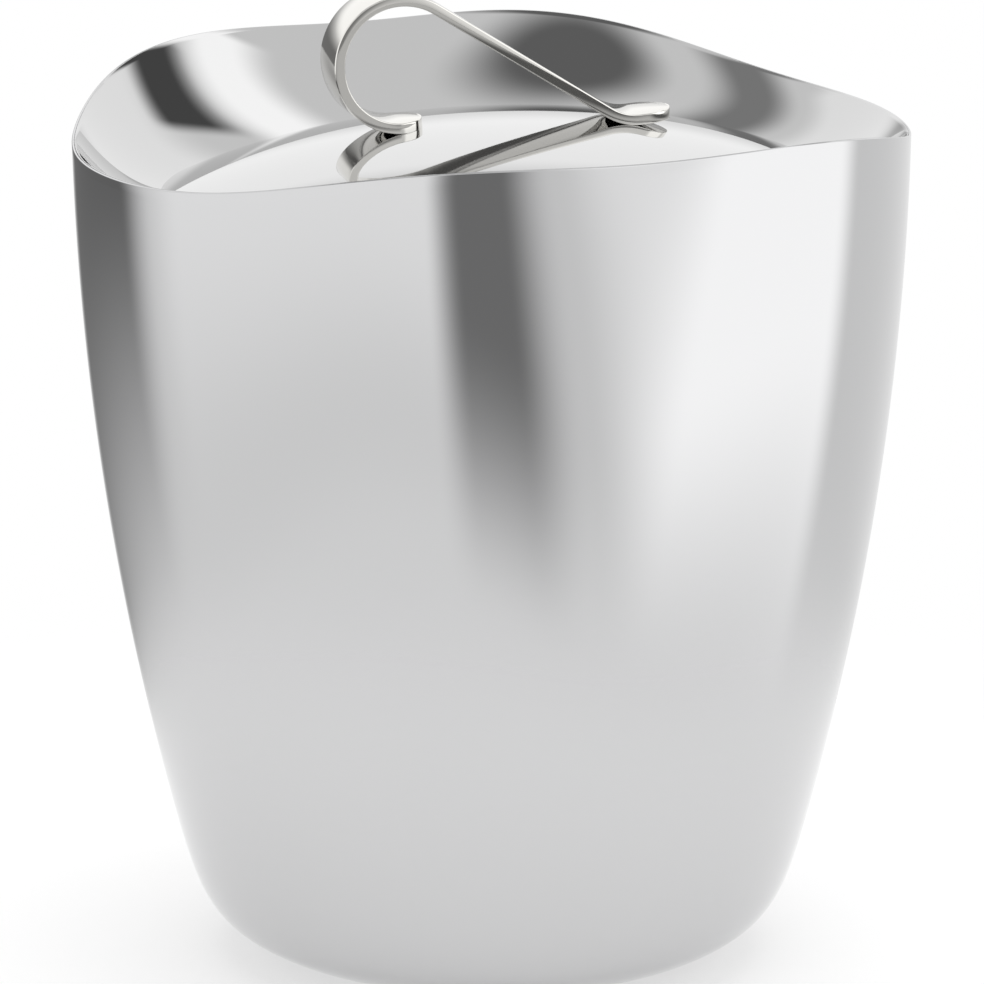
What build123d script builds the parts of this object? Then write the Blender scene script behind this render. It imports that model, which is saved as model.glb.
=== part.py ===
"""Double-walled steel ice bucket: a wavy rim, a lift-off domed lid and a ribbon handle.

Frame: millimetres, +Z up, origin on the table under the middle of the base.
X runs along the two low points of the rim and along the lid's long axis.
"""
from build123d import *
from math import asin, atan2, cos, degrees, exp, radians, sin, sqrt
import os

os.makedirs("parts", exist_ok=True)

# ---- driving dimensions -------------------------------------------------
rim_height = 218.0          # mean height of the rim above the table
rim_radius = 103.8          # mean radius of the body at the rim
base_radius = 45.0          # radius of the flat under the body
flare = 33.0                # how far the upper wall leans out, base to rim
corner_rise = 5.5           # how quickly the base corner turns up into the wall
rim_wave = 6.9              # the rim drops this much at X and rises it at Y
rim_wave_four = 1.1         # four-fold part of the rim's wave
rim_wave_six = 1.0          # six-fold part of the rim's wave
plan_oval = 2.7             # the rim is this much longer along X than the mean
plan_four = 2.0             # soft corners between X and Y, in plan
plan_six = 1.4              # six-fold part of the plan
shell_sheet = 0.7           # steel thickness of the outer wall
liner_sheet = 0.7           # steel thickness of the liner
rim_land = 0.3              # width of the liner's edge where it meets the rim
weld_band = 0.6             # height of the band where the two walls meet
weld_gap = 0.02             # hair of room between them

lid_half_length = 85.0      # lid's outer edge along X
lid_half_width = 64.0       # lid's outer edge along Y
lid_rise = 15.0             # height of the dome over the lid's edge
lid_shoulder = 0.2          # how much of that fall comes late, towards the edge
lid_below_rim = 2.6         # top of the dome under the mean rim
lid_flange = 3.0            # turned-down edge of the dome
lid_sheet = 0.8             # steel thickness of the dome and the pan
lid_clearance = 1.2         # gap round the lid in its seat
seat_width = 4.2            # ledge that the lid's flange stands on
pan_depth = 6.5             # how far the pan hangs below the seat
pan_clearance = 2.0         # gap between the pan and the well
pan_corner = 3.0            # fillet round the bottom of the pan

well_floor = 14.0           # inside height of the well's floor
well_floor_radius = 60.0    # the well is round at the bottom
well_corner = 14.0          # how far the floor corner pulls in
well_corner_rise = 4.0      # how quickly that corner turns up

foot_gap = 0.8              # the steel hangs this far over the table
base_opening = 40.0         # radius of the hole closed by the base plate
base_lap = 4.0              # base plate laps the shell by this much
base_plate_sheet = 0.7
base_plate_lift = 3.5       # pressed-up middle of the base plate
base_plate_press = 28.0     # radius of the pressed-up middle
foot_ring_width = 6.5
foot_ring_gap = 0.5         # gap between the foot ring and the base opening
vent_radius = 1.6
plug_head = 0.8             # thickness of the plug's flat head
plug_barb = 1.2             # height of the barb that holds it

strip_width = 14.5          # handle strip
strip_thickness = 2.7
loop_radius = 14.7          # inside of the handle's loop
loop_offset = 25.0          # loop's middle, from the lid's middle
handle_turn = -6.0          # handle's plane, turned from the lid's long axis
foot_bend = 15.0            # outer radius of the bend into the right foot
foot_tilt = 4.0             # both feet lift this much towards their tips
foot_reach = 36.0           # right foot's lowest point, from the lid's middle
left_foot_length = 5.5      # straight end of the left foot
right_foot_length = 9.3     # straight end of the right foot
foot_sink = 0.15            # ground off the feet to seat them on the dome

stud_diameter = 4.0
stud_inset = 2.0            # left stud, from the loop's lowest point
stud_in_strip = 1.5
stud_hole_clearance = 0.3
washer_diameter = 9.0
washer_sheet = 0.8
washer_gap = 0.15           # flat washer under a curved dome
nut_flats = 7.0
nut_height = 3.2
stud_past_nut = 1.0

# ---- values worked out from them ----------------------------------------
ring_points = 36                        # points on each ring that a wall is stretched over
dome_top = rim_height - lid_below_rim
lid_edge = dome_top - lid_rise
seat_height = lid_edge - lid_flange
seat_length = lid_half_length + lid_clearance
seat_breadth = lid_half_width + lid_clearance
well_length = seat_length - seat_width
well_breadth = seat_breadth - seat_width
base_corner = rim_radius - flare - base_radius
strip_outer = loop_radius + strip_thickness


def plan_lobes(angle):
    """Departure of the rim's plan from a circle."""
    return plan_oval * cos(2 * angle) - plan_four * cos(4 * angle) + plan_six * cos(6 * angle)


def rim_level(angle):
    """Height of the rim at an angle from X."""
    wave = rim_wave * cos(2 * angle) + rim_wave_four * cos(4 * angle)
    return rim_height - wave + rim_wave_six * cos(6 * angle)


def wall_radius(angle, height):
    """Outside of the body: a flare that dies out upwards and a soft base corner."""
    share = (height - foot_gap) / (rim_height - foot_gap)
    mean = rim_radius - flare * (1 - share) ** 2
    corner = base_corner * exp(-(height - foot_gap) / corner_rise)
    return mean - corner + plan_lobes(angle) * max(share, 0) ** 1.5


def oval(angle, length, breadth):
    """Radius of an ellipse with these half axes."""
    return length * breadth / sqrt((breadth * cos(angle)) ** 2 + (length * sin(angle)) ** 2)


def funnel_slope(angle):
    """Run of the funnel per unit of rise, so that it ends just inside the rim."""
    inside = wall_radius(angle, rim_level(angle)) - shell_sheet - rim_land
    run = inside - oval(angle, seat_length, seat_breadth)
    return run / (rim_level(angle) - seat_height)


def funnel_radius(angle, height):
    """Inside of the funnel between the lid's seat and the rim."""
    start = oval(angle, seat_length, seat_breadth)
    return start + funnel_slope(angle) * (height - seat_height)


def well_radius(angle, height):
    """Inside of the well: round at the floor, oval at the seat."""
    share = (height - well_floor) / (seat_height - well_floor)
    top = oval(angle, well_length, well_breadth)
    corner = well_corner * exp(-(height - well_floor) / well_corner_rise)
    return well_floor_radius + (top - well_floor_radius) * share - corner


def wavy_level(angle, height):
    """Height of a ring on the body: flat at the foot, and the rim's own wave at the rim."""
    share = (height - foot_gap) / (rim_height - foot_gap)
    return height + (rim_level(angle) - rim_height) * share**3


def flat_level(angle, height):
    """Height of a ring that lies level."""
    return height


def pushed_out(radius, angle, height, distance):
    """The radius of a surface moved along its own slope by a distance."""
    step = 0.01
    slope = (radius(angle, height + step) - radius(angle, height - step)) / (2 * step)
    return radius(angle, height) + distance * sqrt(1 + slope * slope)


def ring(radius, level, height, distance=0.0):
    """A closed smooth curve round a surface, moved off it by a distance."""
    points = []
    for turn in range(ring_points):
        angle = radians(360 * turn / ring_points)
        z = level(angle, height)
        reach = pushed_out(radius, angle, z, distance)
        points.append((reach * cos(angle), reach * sin(angle), z))
    with BuildLine() as line:
        Spline(points, periodic=True)
    return line.wire()


def skin(rings, ruled=False):
    """Faces stretched over a row of rings."""
    return Shell.make_loft(rings, ruled=ruled).faces()


def solid_from(*skins):
    """One solid sewn from faces that meet edge to edge."""
    return Solid(Shell([face for faces in skins for face in faces]))


def dome_level(x, y, drop=0.0):
    """Height of the lid's dome."""
    out = (x / lid_half_length) ** 2 + (y / lid_half_width) ** 2
    return dome_top - drop - lid_rise * ((1 - lid_shoulder) * out + lid_shoulder * out * out)


def level_surface(level, half_x, half_y, steps=24):
    """A smooth face through a grid of heights."""
    rows = []
    for i in range(steps + 1):
        x = half_x * (2 * i / steps - 1)
        ys = [half_y * (2 * j / steps - 1) for j in range(steps + 1)]
        rows.append([(x, y, level(x, y)) for y in ys])
    return Face.make_surface_from_array_of_points(rows, tol=0.001, min_deg=3, max_deg=5)


# ---- outer shell ------------------------------------------------------------
# Each wall is a skin over rings: close ones round the base corner, then even ones
# up to the last ring, which is the wavy rim itself.
corner_steps = [0.0, 0.06, 0.15, 0.3, 0.55, 1.0]
wall_steps = [0.0, 0.2, 0.4, 0.6, 0.8, 1.0]
corner_top = foot_gap + 4 * corner_rise
corner_heights = [foot_gap + share * (corner_top - foot_gap) for share in corner_steps]
wall_heights = [corner_top + share * (rim_height - corner_top) for share in wall_steps]
lip_inside = foot_gap + shell_sheet
outer_corner = [ring(wall_radius, wavy_level, h) for h in corner_heights]
outer_wall = [outer_corner[-1]] + [ring(wall_radius, wavy_level, h) for h in wall_heights[1:]]
inner_corner = [ring(wall_radius, flat_level, lip_inside, -shell_sheet)]
inner_corner += [ring(wall_radius, wavy_level, h, -shell_sheet) for h in corner_heights[2:]]
inner_wall = [inner_corner[-1]]
inner_wall += [ring(wall_radius, wavy_level, h, -shell_sheet) for h in wall_heights[1:]]
with BuildLine() as lip_hole:
    CenterArc((0, 0, foot_gap), base_opening, 0, 360)
lip_low = lip_hole.wire()
lip_high = lip_low.moved(Location((0, 0, shell_sheet)))

with BuildPart() as outer_shell:
    add(solid_from(
        skin(outer_corner),
        skin(outer_wall),
        skin(inner_corner),
        skin(inner_wall),
        skin([outer_wall[-1], inner_wall[-1]], ruled=True),
        [Face(outer_corner[0], [lip_low]), Face(inner_corner[0], [lip_high])],
        skin([lip_low, lip_high], ruled=True),
    ))
outer_shell.part.label = "outer_shell"
export_step(outer_shell.part, "parts/outer_shell.step")

# ---- liner: funnel, seat and well in one pressing -----------------------------
# Its top edge lies along the inside of the shell, a hair away, all round the rim.
seat_under = seat_height - liner_sheet
well_bend = well_floor + 4 * well_corner_rise
bend_heights = [well_floor + share * (well_bend - well_floor) for share in corner_steps]
well_heights = [well_bend + share * (seat_height - well_bend) for share in wall_steps]
bend_inner = [ring(well_radius, flat_level, h) for h in bend_heights]
well_inner = [bend_inner[-1]] + [ring(well_radius, flat_level, h) for h in well_heights[1:]]
bend_outer = [ring(well_radius, flat_level, well_floor - liner_sheet, liner_sheet)]
bend_outer += [ring(well_radius, flat_level, h, liner_sheet) for h in bend_heights[1:]]
well_outer = [bend_outer[-1]]
well_outer += [ring(well_radius, flat_level, h, liner_sheet) for h in well_heights[1:-1]]
well_outer.append(ring(well_radius, flat_level, seat_under, liner_sheet))
seat_top = ring(funnel_radius, flat_level, seat_height)
seat_low = ring(funnel_radius, flat_level, seat_under, liner_sheet)
rim_inside = ring(funnel_radius, wavy_level, rim_height)
rim_outside = ring(wall_radius, wavy_level, rim_height, -shell_sheet - weld_gap)
band_low = ring(wall_radius, wavy_level, rim_height - weld_band, -shell_sheet - weld_gap)

with BuildPart() as inner_liner:
    add(solid_from(
        [Face(bend_inner[0]), Face(bend_outer[0])],
        skin(bend_inner),
        skin(well_inner),
        [Face(seat_top, [well_inner[-1]]), Face(seat_low, [well_outer[-1]])],
        skin([seat_top, rim_inside], ruled=True),
        skin([rim_inside, rim_outside], ruled=True),
        skin([rim_outside, band_low], ruled=True),
        skin([band_low, seat_low], ruled=True),
        skin(well_outer),
        skin(bend_outer),
    ))
inner_liner.part.label = "inner_liner"
export_step(inner_liner.part, "parts/inner_liner.step")

# ---- base plate, foot ring and vent plug ---------------------------------------
plate_under = foot_gap + shell_sheet
with BuildPart() as base_plate:
    with BuildSketch(Plane.XZ):
        with BuildLine():
            Polyline(
                (vent_radius, plate_under + base_plate_lift),
                (base_plate_press - base_plate_lift, plate_under + base_plate_lift),
                (base_plate_press, plate_under),
                (base_opening + base_lap, plate_under),
                (base_opening + base_lap, plate_under + base_plate_sheet),
                (base_plate_press + base_plate_sheet / 2, plate_under + base_plate_sheet),
                (base_plate_press - base_plate_lift + base_plate_sheet / 2,
                 plate_under + base_plate_lift + base_plate_sheet),
                (vent_radius, plate_under + base_plate_lift + base_plate_sheet),
                close=True,
            )
        make_face()
    revolve(axis=Axis.Z)
base_plate.part.label = "base_plate"
export_step(base_plate.part, "parts/base_plate.step")

with BuildPart() as foot_ring:
    with BuildSketch(Plane.XY):
        Circle(base_opening - foot_ring_gap)
        Circle(base_opening - foot_ring_gap - foot_ring_width, mode=Mode.SUBTRACT)
    extrude(amount=plate_under)
    fillet(foot_ring.faces().sort_by(Axis.Z)[0].edges(), radius=foot_gap / 2)
foot_ring.part.label = "foot_ring"
export_step(foot_ring.part, "parts/foot_ring.step")

plug_seat = plate_under + base_plate_lift
with BuildPart() as vent_plug:
    with BuildSketch(Plane.XZ):
        with BuildLine():
            Polyline(
                (0, plug_seat - plug_head),
                (2 * vent_radius, plug_seat - plug_head),
                (2 * vent_radius, plug_seat),
                (vent_radius, plug_seat),
                (vent_radius, plug_seat + base_plate_sheet),
                (1.4 * vent_radius, plug_seat + base_plate_sheet),
                (0.8 * vent_radius, plug_seat + base_plate_sheet + plug_barb),
                (0, plug_seat + base_plate_sheet + plug_barb),
                close=True,
            )
        make_face()
    revolve(axis=Axis.Z)
vent_plug.part.label = "vent_plug"
export_step(vent_plug.part, "parts/vent_plug.step")

# ---- where the handle's studs go through the dome -------------------------------
handle_plane = Plane.XZ.rotated((0, 0, handle_turn))
stud_places = [-loop_offset + stud_inset, foot_reach - stud_inset / 2]


def stud_plane(along):
    """A plane on top of the dome, square to it, at one stud."""
    x = along * cos(radians(handle_turn))
    y = along * sin(radians(handle_turn))
    step = 0.01
    slope_x = (dome_level(x + step, y) - dome_level(x - step, y)) / (2 * step)
    slope_y = (dome_level(x, y + step) - dome_level(x, y - step)) / (2 * step)
    return Plane(origin=(x, y, dome_level(x, y)), z_dir=(-slope_x, -slope_y, 1))


# ---- lid dome ---------------------------------------------------------------------
def under_dome(inset, drop):
    """Solid between the seat and the dome, inset all round."""
    margin = 5.0
    with BuildPart() as solid:
        with BuildSketch(Plane.XY.offset(seat_height)):
            Ellipse(lid_half_length - inset, lid_half_width - inset)
        extrude(amount=lid_flange + lid_rise + margin)
        half_x = lid_half_length + margin
        half_y = lid_half_width + margin
        top = level_surface(lambda x, y: dome_level(x, y, drop), half_x, half_y)
        extrude(top, amount=4 * lid_rise, dir=(0, 0, 1), mode=Mode.SUBTRACT)
    return solid.part


dome_solid = under_dome(0, 0)
dome_space = under_dome(lid_sheet, lid_sheet)

with BuildPart() as lid_dome:
    add(dome_solid)
    add(dome_space, mode=Mode.SUBTRACT)
    for along in stud_places:
        with BuildSketch(stud_plane(along)):
            Circle(stud_diameter / 2 + stud_hole_clearance / 2)
        extrude(amount=3 * lid_sheet, both=True, mode=Mode.SUBTRACT)
lid_dome.part.label = "lid_dome"
export_step(lid_dome.part, "parts/lid_dome.step")

# ---- lid pan ------------------------------------------------------------------------
pan_length = well_length - pan_clearance
pan_breadth = well_breadth - pan_clearance
with BuildPart() as pan_space:
    with BuildSketch(Plane.XY.offset(seat_height - pan_depth + lid_sheet)):
        Ellipse(pan_length - lid_sheet, pan_breadth - lid_sheet)
    extrude(amount=pan_depth + 2 * lid_sheet)
    fillet(pan_space.faces().sort_by(Axis.Z)[0].edges(), radius=pan_corner - lid_sheet)

with BuildPart() as lid_pan:
    with BuildSketch(Plane.XY.offset(seat_height - pan_depth)):
        Ellipse(pan_length, pan_breadth)
    extrude(amount=pan_depth + 2 * lid_sheet)
    fillet(lid_pan.faces().sort_by(Axis.Z)[0].edges(), radius=pan_corner)
    with BuildSketch(Plane.XY.offset(seat_height + lid_sheet)):
        Ellipse(lid_half_length - lid_sheet, lid_half_width - lid_sheet)
    extrude(amount=lid_sheet)
    add(pan_space.part, mode=Mode.SUBTRACT)
lid_pan.part.label = "lid_pan"
export_step(lid_pan.part, "parts/lid_pan.step")

# ---- handle strip ---------------------------------------------------------------------
# The strip follows a loop, a straight run and a bend. The run is the line that
# touches both circles from opposite sides, so it always meets them smoothly.
half_strip = strip_thickness / 2
loop_line = loop_radius + half_strip
bend_line = foot_bend - half_strip
loop_middle = Vector(-loop_offset, dome_level(-loop_offset, 0) - foot_sink + loop_line + half_strip)
bend_middle = Vector(foot_reach, dome_level(foot_reach, 0) - foot_sink + foot_bend)
between = bend_middle - loop_middle
run_fall = degrees(asin((loop_line + bend_line) / between.length) - atan2(between.Y, between.X))


def on_circle(middle, radius, angle):
    """Point on a circle in the handle's plane."""
    return middle + Vector(radius * cos(radians(angle)), radius * sin(radians(angle)))


def strip_side(out):
    """One long side of the strip, this far outside its centre line; gives its two ends."""
    left_start = on_circle(loop_middle, loop_line + out, 270 + foot_tilt)
    left_tip = on_circle(left_start, left_foot_length, foot_tilt)
    Line(left_tip, left_start)
    CenterArc(loop_middle, loop_line + out, 270 + foot_tilt, -(180 + foot_tilt + run_fall))
    run_start = on_circle(loop_middle, loop_line + out, 90 - run_fall)
    run_end = on_circle(bend_middle, bend_line - out, 270 - run_fall)
    Line(run_start, run_end)
    CenterArc(bend_middle, bend_line - out, 270 - run_fall, run_fall + foot_tilt)
    right_start = on_circle(bend_middle, bend_line - out, 270 + foot_tilt)
    right_tip = on_circle(right_start, right_foot_length, foot_tilt)
    Line(right_start, right_tip)
    return left_tip, right_tip


def foot_rounding(along, low):
    """What is cut from a foot's free end to round it in plan."""
    middle = along - strip_width / 2
    with BuildPart() as trim:
        with BuildSketch(Plane.XY.offset(low - strip_thickness)):
            with Locations((middle + strip_width / 2, 0)):
                Rectangle(strip_width, 1.2 * strip_width)
            with Locations((middle, 0)):
                Circle(strip_width / 2, mode=Mode.SUBTRACT)
        extrude(amount=4 * strip_thickness)
    return trim.part.rotate(Axis.Z, handle_turn)


def studs(radius, start, end):
    """Two cylinders square to the dome, from one depth under it to another."""
    with BuildPart() as pair:
        for along in stud_places:
            with BuildSketch(stud_plane(along).offset(-start)):
                Circle(radius)
            extrude(amount=start - end)
    return pair.part


stud_end = lid_sheet + washer_gap + washer_sheet + nut_height + stud_past_nut
with BuildPart() as handle_studs:
    add(studs(stud_diameter / 2, -stud_in_strip, stud_end))
handle_studs.part.label = "handle_studs"
export_step(handle_studs.part, "parts/handle_studs.step")

with BuildPart() as handle_strip:
    with BuildSketch(handle_plane):
        with BuildLine():
            outer_ends = strip_side(half_strip)
            inner_ends = strip_side(-half_strip)
            Line(outer_ends[0], inner_ends[0])
            Line(outer_ends[1], inner_ends[1])
        make_face()
    extrude(amount=strip_width / 2, both=True)
    for tip, middle, drop in (
        (inner_ends[0].X, loop_middle, loop_line),
        (outer_ends[1].X, bend_middle, bend_line),
    ):
        add(foot_rounding(tip, middle.Y - drop), mode=Mode.SUBTRACT)
    add(dome_solid, mode=Mode.SUBTRACT)
    add(handle_studs.part, mode=Mode.SUBTRACT)
handle_strip.part.label = "handle_strip"
export_step(handle_strip.part, "parts/handle_strip.step")

# ---- washers and nuts under the dome -----------------------------------------------------
washer_top = lid_sheet + washer_gap
with BuildPart() as handle_washers:
    for along in stud_places:
        with BuildSketch(stud_plane(along).offset(-washer_top)):
            Circle(washer_diameter / 2)
            Circle(stud_diameter / 2 + stud_hole_clearance / 2, mode=Mode.SUBTRACT)
        extrude(amount=-washer_sheet)
handle_washers.part.label = "handle_washers"
export_step(handle_washers.part, "parts/handle_washers.step")

with BuildPart() as handle_nuts:
    for along in stud_places:
        with BuildSketch(stud_plane(along).offset(-washer_top - washer_sheet)):
            RegularPolygon(nut_flats / 2, 6, major_radius=False)
            Circle(stud_diameter / 2, mode=Mode.SUBTRACT)
        extrude(amount=-nut_height)
handle_nuts.part.label = "handle_nuts"
export_step(handle_nuts.part, "parts/handle_nuts.step")
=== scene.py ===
# %% [markdown]
# # Polished ice bucket with a wavy rim
# The bucket is a double-walled steel vessel. The CAD frame gives every piece its
# place and its size, in metres, with +Z up and X through the low points of the rim.
# Polished steel has no colour of its own: it shows its surroundings, so this lesson
# spends its effort on two things, very smooth surfaces and a studio worth reflecting.

# %% Load the frame
from math import asin, atan2, cos, degrees, exp, pi, radians, sin, sqrt

import bpy
from mathutils import Euler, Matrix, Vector


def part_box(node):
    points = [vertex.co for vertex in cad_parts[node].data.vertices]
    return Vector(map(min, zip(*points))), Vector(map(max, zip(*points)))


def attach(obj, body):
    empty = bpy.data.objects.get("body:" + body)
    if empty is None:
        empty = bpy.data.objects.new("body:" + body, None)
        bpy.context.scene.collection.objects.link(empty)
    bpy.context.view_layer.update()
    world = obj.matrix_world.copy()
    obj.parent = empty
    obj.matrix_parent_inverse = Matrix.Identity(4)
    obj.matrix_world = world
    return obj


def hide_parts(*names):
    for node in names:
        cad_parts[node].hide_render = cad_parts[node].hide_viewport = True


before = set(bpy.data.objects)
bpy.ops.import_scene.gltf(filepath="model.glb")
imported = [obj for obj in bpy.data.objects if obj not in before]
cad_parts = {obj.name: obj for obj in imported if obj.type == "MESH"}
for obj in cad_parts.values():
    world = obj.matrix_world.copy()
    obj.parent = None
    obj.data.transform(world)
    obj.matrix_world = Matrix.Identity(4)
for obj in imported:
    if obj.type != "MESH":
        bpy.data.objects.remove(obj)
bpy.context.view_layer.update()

shell_low, shell_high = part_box("outer_shell")
dome_low, dome_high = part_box("lid_dome")
liner_low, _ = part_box("inner_liner")
print("shell from", [round(v, 4) for v in shell_low], "to", [round(v, 4) for v in shell_high])

# %% [markdown]
# The body is one formula. Its plan is a circle with soft corners, its wall leans out
# less and less on the way up, and a short exponential turns the base corner. The rim
# is a wave of two, four and six lobes. The same numbers made the CAD walls, so a mesh
# worked out from them lies where the CAD node lies, but with far finer facets: a
# mirror finish shows every facet, and that is why the two walls are made again here.

# %% The body's driving sizes
mm = 0.001
foot_gap = shell_low[2]
rim_height = 218.0 * mm
rim_radius = 103.8 * mm
base_radius = 45.0 * mm
flare = 33.0 * mm
corner_rise = 5.5 * mm
rim_wave = (6.9 * mm, 1.1 * mm, -1.0 * mm)
plan_wave = (2.7 * mm, -2.0 * mm, 1.4 * mm)
sheet = 0.7 * mm
rim_land = 0.3 * mm
base_corner = rim_radius - flare - base_radius


def lobes(angle, wave):
    """Two, four and six lobes round the body."""
    return sum(size * cos(count * angle) for size, count in zip(wave, (2, 4, 6)))


def wall_radius(angle, z):
    """Outside radius of the body at a height."""
    share = (z - foot_gap) / (rim_height - foot_gap)
    mean = rim_radius - flare * (1 - share) ** 2
    corner = base_corner * exp(-(z - foot_gap) / corner_rise)
    return mean - corner + lobes(angle, plan_wave) * max(share, 0) ** 1.5


def rim_level(angle):
    """Height of the rim."""
    return rim_height - lobes(angle, rim_wave)


def wavy(angle, z):
    """A height on the body, lifted or dropped with the rim above it."""
    share = (z - foot_gap) / (rim_height - foot_gap)
    return z + (rim_level(angle) - rim_height) * share**3


print("rim from", round(rim_level(0), 4), "to", round(rim_level(pi / 2), 4))

# %% [markdown]
# Each wall is a stack of rings joined by quads. A helper turns rings into a mesh:
# a ring may be a single point, which closes a dome, and a stack may be closed on
# itself, which makes sheet metal with two sides and a real edge. Edges sharper than
# a set angle are kept crisp, and the rest is shaded smooth.

# %% Rings into a mesh
crisp_angle = radians(35)
around = 384


def ring_of(point, count=around):
    """Points round the Z axis; point gives x, y, z for an angle."""
    return [point(2 * pi * step / count) for step in range(count)]


def mesh_from_rings(name, rings, closed=False):
    """A piece from a stack of rings; one-point rings make fans."""
    points, starts = [], []
    for ring in rings:
        starts.append(len(points))
        points.extend(ring)
    faces = []
    pairs = list(zip(range(len(rings) - 1), range(1, len(rings))))
    if closed:
        pairs.append((len(rings) - 1, 0))
    for low, high in pairs:
        a, b = starts[low], starts[high]
        n, m = len(rings[low]), len(rings[high])
        for i in range(max(n, m)):
            j = (i + 1) % max(n, m)
            if n == 1:
                faces.append((a, b + j, b + i))
            elif m == 1:
                faces.append((a + i, a + j, b))
            else:
                faces.append((a + i, a + j, b + j, b + i))
    mesh = bpy.data.meshes.new(name)
    mesh.from_pydata(points, [], faces)
    mesh.validate()
    mesh.polygons.foreach_set("use_smooth", [True] * len(mesh.polygons))
    mesh.set_sharp_from_angle(angle=crisp_angle)
    piece = bpy.data.objects.new(name, mesh)
    bpy.context.scene.collection.objects.link(piece)
    print(name, len(points), "points", len(faces), "faces")
    return piece


def moved_off(radius, angle, z, distance):
    """A point's radius and height after moving it off the surface, square to it."""
    step = 0.00002
    lean = (radius(angle, z + step) - radius(angle, z - step)) / (2 * step)
    size = sqrt(1 + lean * lean)
    return radius(angle, z) + distance / size, z - distance * lean / size


def round_point(angle, radius, z):
    return (radius * cos(angle), radius * sin(angle), z)


# %% [markdown]
# The outer shell starts at the hole in its base, runs out over the flat, turns up
# through the base corner and climbs to the rim. There the sheet's edge is rounded
# over by polishing, and the inside of the sheet comes back down. Rings are packed
# closely where the profile bends and spread where it is nearly straight.

# %% Outer shell
base_opening = 40.0 * mm
edge_round = 0.32 * mm


def shell_ring(z, distance=0.0):
    def point(angle):
        radius, level = moved_off(wall_radius, angle, wavy(angle, z), distance)
        return round_point(angle, radius, level)
    return ring_of(point)


def shell_edge(turn):
    """The rolled edge of the sheet: turn runs from the outside over to the inside."""
    def point(angle):
        top = rim_level(angle)
        outside = wall_radius(angle, top)
        middle = outside - edge_round
        return round_point(angle, middle + edge_round * cos(turn), top - edge_round * (1 - sin(turn)))
    return ring_of(point)


def spread(count, power):
    """Shares from 0 to 1, closer together near 0."""
    return [(step / count) ** power for step in range(count + 1)]


wall_top = rim_height - edge_round
outside_levels = [foot_gap + share * (wall_top - foot_gap) for share in spread(150, 1.7)]
inside_levels = [foot_gap + sheet + share * (wall_top - foot_gap - sheet) for share in spread(30, 1.7)]
flat_rings = [ring_of(lambda a: round_point(a, base_opening, foot_gap))]
outer_rings = flat_rings + [shell_ring(z) for z in outside_levels]
outer_rings += [shell_edge(pi * step / 8) for step in range(1, 8)]
outer_rings += [shell_ring(z, -sheet) for z in reversed(inside_levels[1:])]
outer_rings.append(ring_of(lambda a: round_point(a, base_opening + 3 * mm, foot_gap + sheet)))
outer_rings.append(ring_of(lambda a: round_point(a, base_opening, foot_gap + sheet)))
outer_wall = mesh_from_rings("outer_wall", outer_rings, closed=True)
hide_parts("outer_shell")
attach(outer_wall, "bucket")

# %% [markdown]
# The liner is one pressing: a wide funnel from the rim, a narrow ledge that the lid
# stands on, and an oval well that grows round towards its floor. The funnel is not
# straight in section. It leaves the rim almost level, like a lip, and steepens a
# little on the way down, which is what bends the reflections inside the bucket.

# %% Liner
lid_clearance = 1.2 * mm
seat_width = 4.2 * mm
lid_length = dome_high[0]
lid_breadth = dome_high[1]
seat_height = dome_low[2]
well_floor = liner_low[2] + sheet
well_floor_radius = 60.0 * mm
well_corner = 14.0 * mm
well_corner_rise = 4.0 * mm
funnel_belly = 1.6 * mm


def oval(angle, length, breadth):
    return length * breadth / sqrt((breadth * cos(angle)) ** 2 + (length * sin(angle)) ** 2)


def funnel_point(angle, share, distance=0.0):
    """Along the funnel: share 0 at the seat, 1 at the rim."""
    top = rim_level(angle)
    inside = wall_radius(angle, top) - sheet - rim_land
    start = oval(angle, lid_length + lid_clearance, lid_breadth + lid_clearance)
    run, rise = inside - start, top - seat_height
    size = sqrt(run * run + rise * rise)
    belly = funnel_belly * 4 * share * (1 - share)
    off = belly + distance
    radius = start + run * share + off * rise / size
    return round_point(angle, radius, seat_height + rise * share - off * run / size)


def well_radius(angle, z):
    share = (z - well_floor) / (seat_height - well_floor)
    top = oval(angle, lid_length + lid_clearance - seat_width, lid_breadth + lid_clearance - seat_width)
    corner = well_corner * exp(-(z - well_floor) / well_corner_rise)
    return well_floor_radius + (top - well_floor_radius) * share - corner


def well_ring(z, distance=0.0):
    def point(angle):
        radius, level = moved_off(well_radius, angle, z, distance)
        return round_point(angle, radius, level)
    return ring_of(point)


def rim_ring(inset, drop=0.0):
    def point(angle):
        top = rim_level(angle)
        return round_point(angle, wall_radius(angle, top) - inset, top - drop)
    return ring_of(point)


hair = 0.03 * mm
seat_bend = 0.012
well_levels = [well_floor + share * (seat_height - 0.4 * mm - well_floor) for share in spread(50, 1.8)]
floor_disc = 44.0 * mm
liner_rings = [[(0, 0, well_floor)]]
liner_rings += [ring_of(lambda a, r=r: round_point(a, r * floor_disc, well_floor)) for r in (0.4, 0.8)]
liner_rings += [well_ring(z) for z in well_levels]
liner_rings += [ring_of(lambda a, o=o: round_point(
    a, oval(a, lid_length + lid_clearance - seat_width + o, lid_breadth + lid_clearance - seat_width + o),
    seat_height)) for o in (0.6 * mm, 3.0 * mm)]
funnel_shares = [seat_bend + (1 - 2 * seat_bend) * step / 60 for step in range(61)]
liner_rings += [ring_of(lambda a, s=s: funnel_point(a, s)) for s in funnel_shares]
liner_rings += [rim_ring(sheet + rim_land * 0.6), rim_ring(sheet + hair), rim_ring(sheet + hair, 0.6 * mm)]
liner_rings += [ring_of(lambda a, s=s: funnel_point(a, s, sheet)) for s in (0.93, 0.7, 0.5, 0.3, 0.0)]
liner_rings += [well_ring(z, sheet) for z in reversed(well_levels[::5])]
liner_rings.append([(0, 0, well_floor - sheet)])
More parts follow.
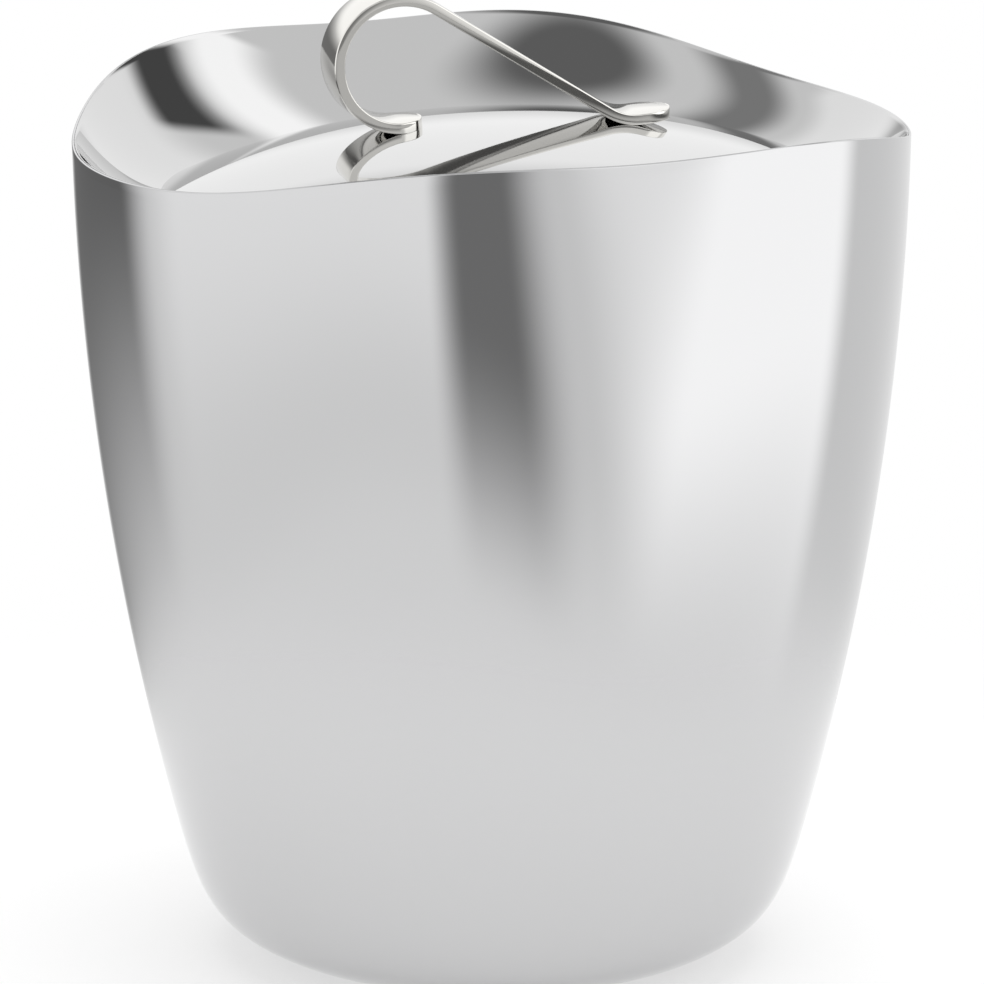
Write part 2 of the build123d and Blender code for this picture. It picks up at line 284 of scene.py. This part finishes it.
liner_wall = mesh_from_rings("liner_wall", liner_rings)
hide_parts("inner_liner")
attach(liner_wall, "bucket")

# %% [markdown]
# The lid is a shallow oval dome with its edge turned down. Its section is a parabola
# with a little fourth power, so it is flattest in the middle, where it mirrors the
# handle, and falls faster towards the edge.

# %% Lid dome
lid_sheet = 0.8 * mm
dome_edge = 0.7 * mm
dome_rise = 15.0 * mm
dome_top = dome_high[2]


def dome_level(x, y):
    out = (x / lid_length) ** 2 + (y / lid_breadth) ** 2
    return dome_top - dome_rise * (0.8 * out + 0.2 * out * out)


def dome_ring(share, drop=0.0, inset=0.0):
    def point(angle):
        x = (lid_length - inset) * share * cos(angle)
        y = (lid_breadth - inset) * share * sin(angle)
        return (x, y, dome_level(x, y) - drop)
    return ring_of(point)


def dome_flange(inset, z):
    return ring_of(lambda a: ((lid_length - inset) * cos(a), (lid_breadth - inset) * sin(a), z))


edge_top = dome_top - dome_rise
dome_rings = [[(0, 0, dome_top)]]
dome_rings += [dome_ring(step / 90) for step in range(1, 90)]
for step in range(5):
    turn = pi / 2 * step / 4
    dome_rings.append(dome_flange(dome_edge * (1 - sin(turn)), edge_top - dome_edge * (1 - cos(turn))))
dome_rings += [dome_flange(0, seat_height + 0.25 * mm), dome_flange(0.25 * mm, seat_height)]
dome_rings += [dome_flange(lid_sheet, seat_height), dome_flange(lid_sheet, edge_top - lid_sheet)]
dome_rings += [dome_ring(1 - step / 12, lid_sheet, lid_sheet) for step in range(1, 12)]
dome_rings.append([(0, 0, dome_top - lid_sheet)])
lid_top = mesh_from_rings("lid_top", dome_rings)
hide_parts("lid_dome")
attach(lid_top, "lid")

# %% [markdown]
# The handle is one flat strip, bent on edge: a short foot, a nearly full loop, a
# straight run that touches both curves, and a bend into the second foot. The strip
# is made by carrying a rounded rectangle along that line. Near both tips the section
# gets narrower as a half circle does, which rounds the ends in plan.

# %% Handle strip
strip_width = 14.5 * mm
strip_thickness = 2.7 * mm
loop_radius = 14.7 * mm
loop_offset = 25.0 * mm
handle_turn = radians(-6.0)
foot_reach = 36.0 * mm
foot_bend = 15.0 * mm
foot_tilt = radians(4.0)
left_foot = 5.5 * mm
right_foot = 9.3 * mm
foot_sink = 0.15 * mm
strip_edge = 0.3 * mm
half = strip_thickness / 2
loop_line = loop_radius + half
bend_line = foot_bend - half
loop_middle = Vector((-loop_offset, dome_level(-loop_offset, 0) - foot_sink + loop_line + half))
bend_middle = Vector((foot_reach, dome_level(foot_reach, 0) - foot_sink + foot_bend))
between = bend_middle - loop_middle
run_fall = asin((loop_line + bend_line) / between.length) - atan2(between.y, between.x)


def arc_points(middle, radius, start, sweep, steps):
    """Places and outward normals of the strip's line along an arc."""
    out = []
    for step in range(steps + 1):
        angle = start + sweep * step / steps
        normal = Vector((cos(angle), sin(angle))) * (1 if sweep < 0 else -1)
        out.append((middle + radius * Vector((cos(angle), sin(angle))), normal))
    return out


def straight(end, normal, direction, length, shares):
    """Places along a straight stretch, at shares of its length."""
    return [(end + direction * length * share, normal) for share in shares]


tip_shares = [1 - (step / 24) ** 2 for step in range(24)]
loop = arc_points(loop_middle, loop_line, 3 * pi / 2 + foot_tilt, -(pi + foot_tilt + run_fall), 150)
bend = arc_points(bend_middle, bend_line, 3 * pi / 2 - run_fall, run_fall + foot_tilt, 40)
lift = Vector((cos(foot_tilt), sin(foot_tilt)))
run = bend[0][0] - loop[-1][0]
line = straight(loop[0][0], loop[0][1], lift, left_foot, [1.0] + sorted(tip_shares[1:], reverse=True))
line = line + loop + straight(loop[-1][0], loop[-1][1], run.normalized(), run.length,
                              [step / 12 for step in range(1, 12)])
line = line + bend + straight(bend[-1][0], bend[-1][1], lift, right_foot, sorted(tip_shares))
print("handle line has", len(line), "places, run falls", round(degrees(run_fall), 1), "degrees")


def strip_section(width, thickness, edge):
    """A rounded rectangle: across and out, one loop."""
    points = []
    for corner, (side, face) in enumerate(((1, 1), (-1, 1), (-1, -1), (1, -1))):
        for step in range(4):
            turn = pi / 2 * corner + pi / 2 * step / 3
            across = side * (width - edge) + edge * cos(turn)
            points.append((across, face * (thickness - edge) + edge * sin(turn)))
    return points


lengths = [0.0]
for (a, _), (b, _) in zip(line, line[1:]):
    lengths.append(lengths[-1] + (b - a).length)
total = lengths[-1]
tip_radius = strip_width / 2
handle_rings = []
for (place, normal), length in zip(line, lengths):
    left = min(length, total - length)
    width = tip_radius
    if left < tip_radius:
        width = sqrt(max(tip_radius**2 - (tip_radius - left) ** 2, (0.02 * mm) ** 2))
    ring = []
    for across, out in strip_section(width, half, min(strip_edge, width * 0.6)):
        spot = place + normal * out
        x = spot.x * cos(handle_turn) + across * sin(handle_turn)
        y = spot.x * sin(handle_turn) - across * cos(handle_turn)
        ring.append((x, y, spot.y))
    handle_rings.append(ring)


def middle_of(ring):
    return tuple(sum(values) / len(ring) for values in zip(*ring))


handle_rings = [[middle_of(handle_rings[0])]] + handle_rings + [[middle_of(handle_rings[-1])]]
ribbon = mesh_from_rings("handle_ribbon", handle_rings)
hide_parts("handle_strip")
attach(ribbon, "lid")

# %% [markdown]
# Polished steel is nearly a mirror, but not a perfect one. A buffing wheel leaves
# hair-fine lines that only widen a highlight, and handling leaves faint smudges.
# Both are small changes of roughness and height, so one node group makes them for
# every polished piece, with the amounts as inputs.

# %% Group: buffed finish
def group_with(name, inputs, outputs):
    group = bpy.data.node_groups.new(name, "ShaderNodeTree")
    for label, value in inputs:
        socket = group.interface.new_socket(label, in_out="INPUT", socket_type="NodeSocketFloat")
        socket.default_value = value
    for label, kind in outputs:
        group.interface.new_socket(label, in_out="OUTPUT", socket_type=kind)
    start = group.nodes.new("NodeGroupInput")
    end = group.nodes.new("NodeGroupOutput")
    return group, start, end


def math_node(tree, kind, first, second):
    node = tree.nodes.new("ShaderNodeMath")
    node.operation = kind
    for socket, value in zip(node.inputs, (first, second)):
        if isinstance(value, (int, float)):
            socket.default_value = value
        else:
            tree.links.new(value, socket)
    return node.outputs[0]


def noise_node(tree, scale, detail, stretch=(1, 1, 1)):
    place = tree.nodes.new("ShaderNodeTexCoord")
    mapping = tree.nodes.new("ShaderNodeMapping")
    mapping.inputs["Scale"].default_value = stretch
    noise = tree.nodes.new("ShaderNodeTexNoise")
    noise.inputs["Scale"].default_value = scale
    noise.inputs["Detail"].default_value = detail
    tree.links.new(place.outputs["Object"], mapping.inputs["Vector"])
    tree.links.new(mapping.outputs[0], noise.inputs["Vector"])
    return noise


buffed, start, end = group_with(
    "buffed_finish",
    [("Base Roughness", 0.04), ("Smudge", 0.03), ("Line Height", 0.02)],
    [("Roughness", "NodeSocketFloat"), ("Height", "NodeSocketFloat")],
)
smudges = noise_node(buffed, 14.0, 3.0)
lines = noise_node(buffed, 900.0, 2.0, (1, 1, 0.03))
smudge = math_node(buffed, "MULTIPLY", smudges.outputs[0], start.outputs["Smudge"])
rough = math_node(buffed, "ADD", start.outputs["Base Roughness"], smudge)
height = math_node(buffed, "MULTIPLY", lines.outputs[0], start.outputs["Line Height"])
buffed.links.new(rough, end.inputs["Roughness"])
buffed.links.new(height, end.inputs["Height"])
print("group", buffed.name)


# %% [markdown]
# Stainless steel reflects about two thirds of the light, nearly without colour, so
# the polished pieces are light greys, a little apart in shade and in how finely they
# are buffed, and the handle is the brightest and warmest of them.
# The hidden metal is satin, and the two soft parts under the base are plain dark
# plastics with a fine grain.

# %% Materials
def finish(name, color, metallic):
    material = bpy.data.materials.new(name)
    material.use_nodes = True
    tree = material.node_tree
    shader = tree.nodes["Principled BSDF"]
    shader.inputs["Base Color"].default_value = (*color, 1)
    shader.inputs["Metallic"].default_value = metallic
    return material, tree, shader


def steel(name, color, roughness, smudge, line_height):
    material, tree, shader = finish(name, color, 1.0)
    group = tree.nodes.new("ShaderNodeGroup")
    group.node_tree = buffed
    group.inputs["Base Roughness"].default_value = roughness
    group.inputs["Smudge"].default_value = smudge
    group.inputs["Line Height"].default_value = line_height
    bump = tree.nodes.new("ShaderNodeBump")
    bump.inputs["Strength"].default_value = 0.05
    bump.inputs["Distance"].default_value = 0.00002
    tree.links.new(group.outputs["Roughness"], shader.inputs["Roughness"])
    tree.links.new(group.outputs["Height"], bump.inputs["Height"])
    tree.links.new(bump.outputs[0], shader.inputs["Normal"])
    return material


def soft_plastic(name, color, roughness):
    material, tree, shader = finish(name, color, 0.0)
    noise = noise_node(tree, 900.0, 3.0)
    bump = tree.nodes.new("ShaderNodeBump")
    bump.inputs["Strength"].default_value = 0.2
    bump.inputs["Distance"].default_value = 0.0001
    tree.links.new(noise.outputs[0], bump.inputs["Height"])
    tree.links.new(bump.outputs[0], shader.inputs["Normal"])
    shader.inputs["Roughness"].default_value = roughness
    return material


wall_steel = steel("wall_steel", (0.60, 0.60, 0.605), 0.05, 0.03, 0.3)
liner_steel = steel("liner_steel", (0.60, 0.60, 0.60), 0.02, 0.02, 0.3)
lid_steel = steel("lid_steel", (0.66, 0.66, 0.66), 0.03, 0.02, 0.2)
strip_steel = steel("strip_steel", (0.78, 0.768, 0.735), 0.05, 0.03, 0.3)
satin_steel = steel("satin_steel", (0.62, 0.62, 0.63), 0.28, 0.08, 2.0)
bolt_steel = steel("bolt_steel", (0.58, 0.58, 0.60), 0.22, 0.10, 1.0)
foot_silicone = soft_plastic("foot_silicone", (0.03, 0.03, 0.033), 0.62)
plug_plastic = soft_plastic("plug_plastic", (0.05, 0.05, 0.05), 0.5)

for piece, material in (
    (outer_wall, wall_steel), (liner_wall, liner_steel), (lid_top, lid_steel), (ribbon, strip_steel),
):
    piece.data.materials.clear()
    piece.data.materials.append(material)

kept_nodes = {
    "base_plate": satin_steel, "lid_pan": satin_steel, "foot_ring": foot_silicone,
    "vent_plug": plug_plastic, "handle_studs": bolt_steel, "handle_washers": bolt_steel,
    "handle_nuts": bolt_steel,
}
for node, material in kept_nodes.items():
    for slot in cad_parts[node].material_slots:
        slot.link = "OBJECT"
        slot.material = material
print("materials on", len(kept_nodes), "CAD nodes and 4 pieces")

# %% [markdown]
# The camera stands a little above the rim and off to the left of the long axis, far
# away with a long lens, as a catalogue photographer would: the bucket's sides then
# stay nearly parallel. It looks at the middle of the rim from its distance, and is
# pitched down a little more so that the whole body fills the frame.

# %% Camera
turn = radians(-22.0)
height_angle = radians(11.5)
extra_pitch = radians(3.14)
target = Vector((0, 0, rim_height))
distance = 1.75
ahead = Vector((-sin(turn) * cos(height_angle), cos(turn) * cos(height_angle), -sin(height_angle)))
camera_data = bpy.data.cameras.new("camera")
camera = bpy.data.objects.new("camera", camera_data)
bpy.context.scene.collection.objects.link(camera)
camera.location = target - ahead * distance
camera.rotation_euler = Euler((pi / 2 - height_angle - extra_pitch, 0, turn))
camera_data.sensor_width = 36.0
camera_data.lens = 256.0
camera_data.clip_start = 0.05
bpy.context.scene.camera = camera
print("camera at", [round(v, 3) for v in camera.location])

# %% [markdown]
# The floor is a pale disc that fades out towards its edge, so that it has a soft
# contact shadow under the bucket and no horizon line, neither behind the bucket nor
# in the mirror of its wall. The fade is a mask of the distance from the middle.

# %% Floor
floor_size = 0.34
floor_solid = 0.12
floor_glow = 0.5
floor_rings = [[(0, 0, 0)]]
floor_rings += [ring_of(lambda a, r=r: round_point(a, r * floor_size, 0), 96) for r in (0.3, 0.6, 1.0)]
floor = mesh_from_rings("floor", floor_rings)
floor_paint, tree, shader = finish("floor_paint", (0.5, 0.5, 0.5), 0.0)
shader.inputs["Roughness"].default_value = 0.8
shader.inputs["Emission Color"].default_value = (1, 1, 1, 1)
shader.inputs["Emission Strength"].default_value = floor_glow
shader.inputs["Specular IOR Level"].default_value = 0.0
place = tree.nodes.new("ShaderNodeTexCoord")
reach = tree.nodes.new("ShaderNodeVectorMath")
reach.operation = "LENGTH"
fade = tree.nodes.new("ShaderNodeMapRange")
fade.interpolation_type = "SMOOTHSTEP"
fade.inputs["From Min"].default_value = floor_solid
fade.inputs["From Max"].default_value = floor_size * 0.97
fade.inputs["To Min"].default_value = 1.0
fade.inputs["To Max"].default_value = 0.0
tree.links.new(place.outputs["Object"], reach.inputs[0])
tree.links.new(reach.outputs["Value"], fade.inputs["Value"])
tree.links.new(fade.outputs["Result"], shader.inputs["Alpha"])
floor.data.materials.append(floor_paint)

# %% [markdown]
# The studio is the world itself, worked out from direction alone: a grey room with a
# pale table, large soft boxes on three sides, a dark gap where the camera stands, and
# a dim ceiling. Each is a soft-edged patch of the compass and of height, laid over
# those before it. A shade is what the steel should show, from 0 for black to 1 for
# white, and the steel's own reflectance turns it into light.

# %% Studio panels
steel_gray = 0.60
room_shade = 0.75
all_round = 200


def light_for(shade):
    """How strong the surroundings are where steel should show this shade."""
    return ((shade + 0.055) / 1.055) ** 2.4 / steel_gray


# Middle and half width round the compass, 0 where the camera stands and growing to
# its right; bottom and top, 0 at the horizon; softness of the edges; and the shade.
panels = [
    ("table", 0, all_round, -100, -25, 10, 0.80),
    ("dark side of the room", -140, 30, -20, 5, 15, 0.35),
    ("left soft box", -50, 50, -20, 30, 15, 0.85),
    ("right soft box", 75, 30, -25, 50, 15, 0.95),
    ("gap by the camera", 15, 15, -25, 15, 15, 0.40),
    ("soft box behind", 180, 60, 10, 40, 10, 0.85),
    ("black card", 130, 15, 40, 50, 5, 0.25),
    ("strip light", 125, 25, 52, 60, 5, 0.95),
    ("gap under the ceiling", -50, 110, 50, 65, 10, 0.45),
    ("ceiling", 0, all_round, 78, 100, 10, 0.35),
]
world = bpy.data.worlds.new("studio")
world.use_nodes = True
bpy.context.scene.world = world
tree = world.node_tree
background = tree.nodes["Background"]
place = tree.nodes.new("ShaderNodeTexCoord")
facing = tree.nodes.new("ShaderNodeMapping")
facing.inputs["Rotation"].default_value = (0, 0, radians(90) - turn)
parts = tree.nodes.new("ShaderNodeSeparateXYZ")
tree.links.new(place.outputs["Generated"], facing.inputs["Vector"])
tree.links.new(facing.outputs[0], parts.inputs[0])
compass = math_node(tree, "ARCTAN2", parts.outputs["Y"], parts.outputs["X"])
level = math_node(tree, "ARCSINE", parts.outputs["Z"], 0.0)


def soft_step(value, middle, soft):
    """0 on the low side of an angle and 1 on its high side, in degrees."""
    step = tree.nodes.new("ShaderNodeMapRange")
    step.interpolation_type = "SMOOTHSTEP"
    step.inputs["From Min"].default_value = radians(middle - soft / 2)
    step.inputs["From Max"].default_value = radians(middle + soft / 2)
    tree.links.new(value, step.inputs["Value"])
    return step.outputs["Result"]


def patch(middle, half_width, low, high, soft):
    """A mask of one soft-edged patch of the surroundings."""
    away = math_node(tree, "PINGPONG", math_node(tree, "SUBTRACT", compass, radians(middle)), pi)
    inside = math_node(tree, "SUBTRACT", 1.0, soft_step(away, half_width, soft))
    band = math_node(tree, "SUBTRACT", soft_step(level, low, soft), soft_step(level, high, soft))
    return math_node(tree, "MULTIPLY", inside, band)


light = light_for(room_shade)
for label, middle, half_width, low, high, soft, shade in panels:
    change = math_node(tree, "SUBTRACT", light_for(shade), light)
    covered = math_node(tree, "MULTIPLY", change, patch(middle, half_width, low, high, soft))
    light = math_node(tree, "ADD", light, covered)
    print(label, "at", middle, "degrees shows as", shade)
tree.links.new(light, background.inputs["Color"])

# %% [markdown]
# The camera itself should see a plain white backdrop, so a second, white background
# is used for the rays that come straight from it. A wide lamp overhead lights the
# floor and the matt pieces; mirrors don't show it, because it is kept out of
# reflections. The plain display transform keeps white white.

# %% Backdrop and lamp
white = tree.nodes.new("ShaderNodeBackground")
white.inputs["Color"].default_value = (1, 1, 1, 1)
white.inputs["Strength"].default_value = 1.0
seen = tree.nodes.new("ShaderNodeLightPath")
chooser = tree.nodes.new("ShaderNodeMixShader")
tree.links.new(seen.outputs["Is Camera Ray"], chooser.inputs["Fac"])
tree.links.new(background.outputs[0], chooser.inputs[1])
tree.links.new(white.outputs[0], chooser.inputs[2])
tree.links.new(chooser.outputs[0], tree.nodes["World Output"].inputs["Surface"])

lamp_data = bpy.data.lights.new("overhead", "AREA")
lamp_data.shape = "DISK"
lamp_data.size = 2.4
lamp_data.energy = 26.0
lamp = bpy.data.objects.new("overhead", lamp_data)
lamp.location = (0, 0, 2.2)
lamp.visible_glossy = False
lamp.visible_camera = False
bpy.context.scene.collection.objects.link(lamp)
bpy.context.scene.view_settings.view_transform = "Standard"
print("lamp", lamp_data.energy, "W")
